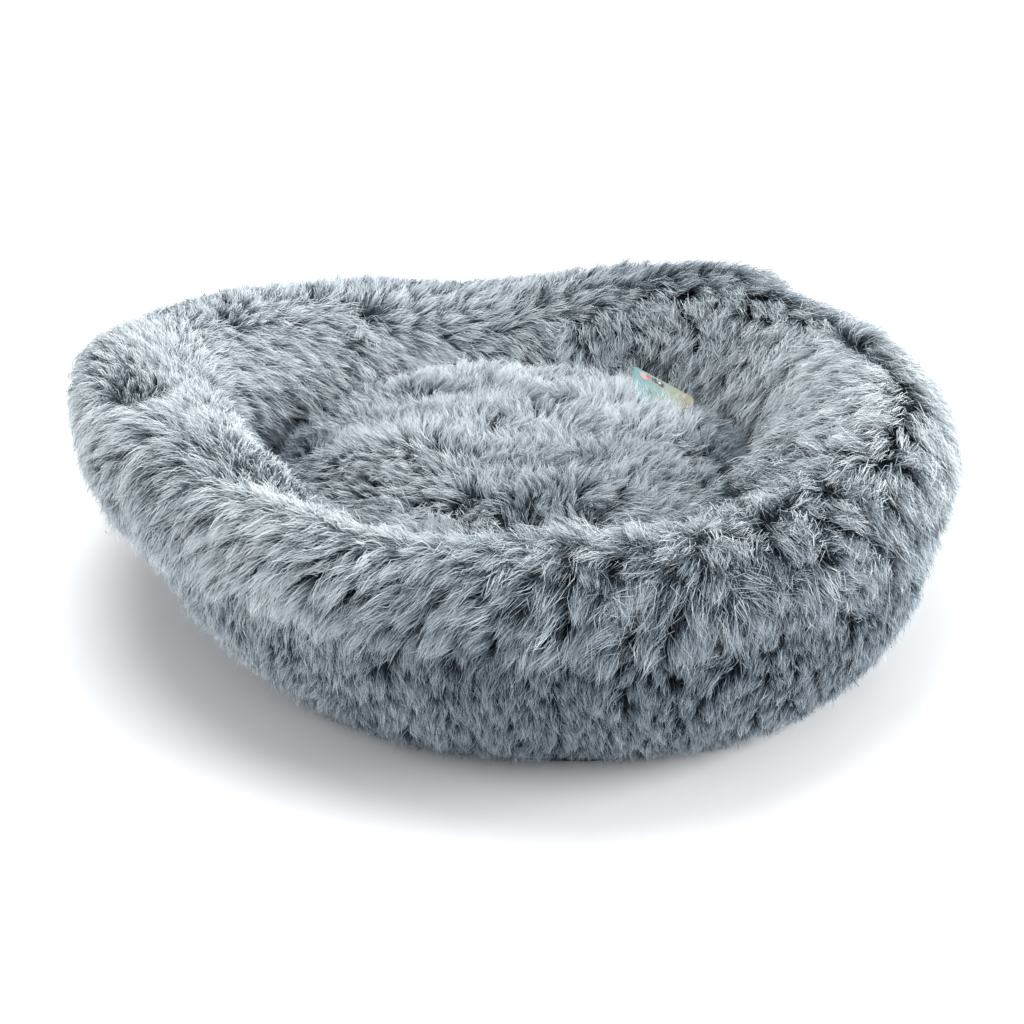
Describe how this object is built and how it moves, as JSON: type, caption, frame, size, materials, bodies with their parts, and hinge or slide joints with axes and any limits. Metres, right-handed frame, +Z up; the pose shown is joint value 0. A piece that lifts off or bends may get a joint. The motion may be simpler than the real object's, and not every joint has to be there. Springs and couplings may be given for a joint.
{
  "type": "pet cushion bed",
  "caption": "Round plush pet bed: a stuffed, outward-leaning fur bolster on a flat base, with a loose fur cushion in its well.",
  "frame": {"origin": "on the floor, under the middle of the well, on the underside of the base", "axes": "+Z up, -Y towards the front, +X to the right seen from the front"},
  "size_m": [0.5616, 0.5809, 0.1639],
  "materials": {
    "fur": "long frosted faux fur, slate roots and silver tips",
    "base_cloth": "woven, matt, with small grip dots underneath",
    "liner_cloth": "plain nonwoven",
    "stuffing": "loose polyester fibre",
    "label_satin": "satin ribbon, blank",
    "zip_tape": "woven tape",
    "zip_coil": "moulded coil",
    "zip_metal": "plated",
    "tag_card": "coated card",
    "clear_plastic": "clear moulded loop"
  },
  "bodies": {
    "bed": {"outer_fur_panel_left": "fur", "outer_fur_panel_right": "fur", "inner_fur_panel_left": "fur", "inner_fur_panel_right": "fur", "bolster_liner": "liner_cloth", "bolster_stuffing": "stuffing", "base_panel": "base_cloth", "base_seam_binding": "base_cloth", "base_wadding": "stuffing", "floor_lining": "base_cloth", "care_label": "label_satin", "zip_tape_lower": "zip_tape", "zip_tape_upper": "zip_tape", "zip_teeth_lower": "zip_coil", "zip_teeth_upper": "zip_coil", "zip_closed_stop": "zip_metal", "zip_open_stop": "zip_metal"},
    "cushion": {"cushion_fur_top": "fur", "cushion_base_cloth": "base_cloth", "cushion_inner_bag": "liner_cloth", "cushion_stuffing": "stuffing", "tag_fastener": "clear_plastic"},
    "tag": {"swing_tag": "tag_card"},
    "slider": {"zip_slider": "zip_metal", "zip_pull_pin": "zip_metal"},
    "pull": {"zip_pull": "zip_metal"}
  },
  "joints": [
    {"name": "cushion_lift", "type": "slide", "parent": "bed", "child": "cushion", "axis": [0, 0, 1], "range_m": [0, 0.25]},
    {"name": "tag_swing", "type": "hinge", "parent": "cushion", "child": "tag", "pos_m": [0.12011, 0.0581, 0.0881], "axis": [0.0656, 0.9729, 0.2219], "range_deg": [0, 80]},
    {"name": "zip_run", "type": "hinge", "parent": "bed", "child": "slider", "pos_m": [-0.00453, 0.04608, 0], "axis": [0, 0, 1], "range_deg": [0, 60.9]},
    {"name": "pull_swing", "type": "hinge", "parent": "slider", "child": "pull", "pos_m": [0.08435, 0.23147, 0.01258], "axis": [-0.248, -0.5172, -0.8192], "range_deg": [0, 165]}
  ]
}
